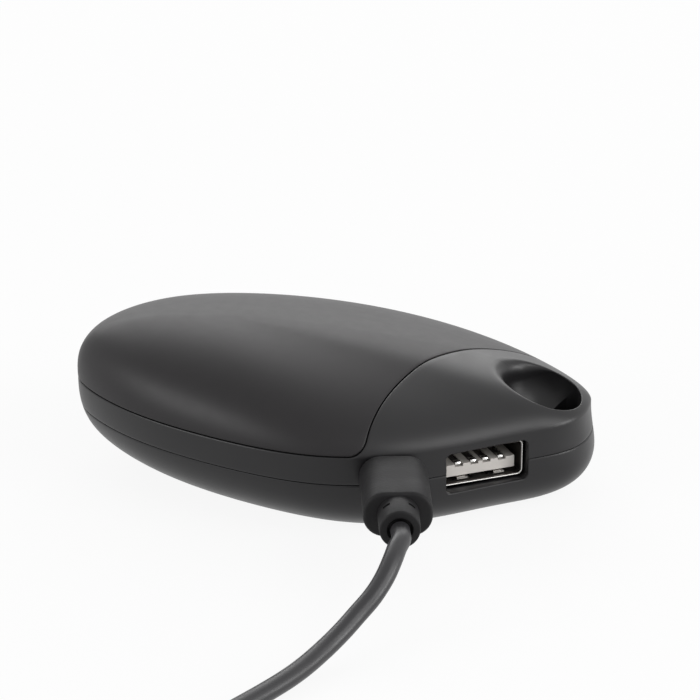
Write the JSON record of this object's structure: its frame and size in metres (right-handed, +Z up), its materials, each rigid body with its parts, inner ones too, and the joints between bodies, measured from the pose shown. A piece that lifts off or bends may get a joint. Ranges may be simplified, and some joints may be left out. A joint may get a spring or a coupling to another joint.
{
  "type": "rechargeable hand warmer",
  "caption": "Pebble-shaped rechargeable pocket hand warmer with an inset top cover, a charging lead, an output socket and a scooped lanyard hole.",
  "frame": {"origin": "on the table under the middle of the warmer's body", "axes": "+X to the nose with the lanyard hole, -Y to the side with the two ports, +Z up"},
  "size_m": [0.0903, 0.1723, 0.025],
  "materials": {
    "cover": "matte soft-touch",
    "housing": "satin",
    "heater": "satin polyimide",
    "red_wire": "matte",
    "bead": "matte",
    "pouch": "satin foil",
    "foam": "matte",
    "board": "satin",
    "chip": "matte",
    "ceramic": "satin",
    "screw": "satin",
    "shell_metal": "bright nickel plate",
    "tongue": "satin",
    "contact": "bright gold flash",
    "slider": "satin",
    "led": "clear",
    "lens": "clear",
    "grip": "matte moulded",
    "cable": "satin",
    "tie": "matte"
  },
  "bodies": {
    "warmer": {"top_cover": "cover", "upper_housing": "housing", "lower_housing": "housing", "heater_film": "heater", "heater_leads": "red_wire", "thermistor": "bead", "pouch_cell": "pouch", "cell_tape": "foam", "cell_board": "board", "cell_leads": "red_wire", "control_board": "board", "control_chip": "chip", "inductor": "chip", "capacitors": "ceramic", "board_screws": "screw", "housing_screws": "screw", "socket_shell": "shell_metal", "socket_tongue": "tongue", "socket_contacts": "contact", "inlet_shell": "shell_metal", "inlet_tongue": "chip", "inlet_contacts": "contact", "switch_case": "shell_metal", "status_leds": "led", "light_guide": "lens"},
    "slider": {"switch_slider": "slider"},
    "lead": {"plug_shell": "shell_metal", "plug_insert": "chip", "plug_contacts": "contact", "plug_grip": "grip", "plug_collar": "grip", "cable_lead": "cable", "cable_coil": "cable", "cable_tie": "tie", "cable_tail": "cable", "far_plug_grip": "grip", "far_plug_shell": "shell_metal", "far_plug_insert": "tongue", "far_plug_contacts": "contact"}
  },
  "joints": [
    {"name": "switch_slide", "type": "slide", "parent": "warmer", "child": "slider", "axis": [-0.978, 0.2085, 0], "range_m": [0, 0.004]},
    {"name": "plug_pull", "type": "slide", "parent": "warmer", "child": "lead", "axis": [0.1444, -0.9895, 0], "range_m": [0, 0.012]}
  ]
}
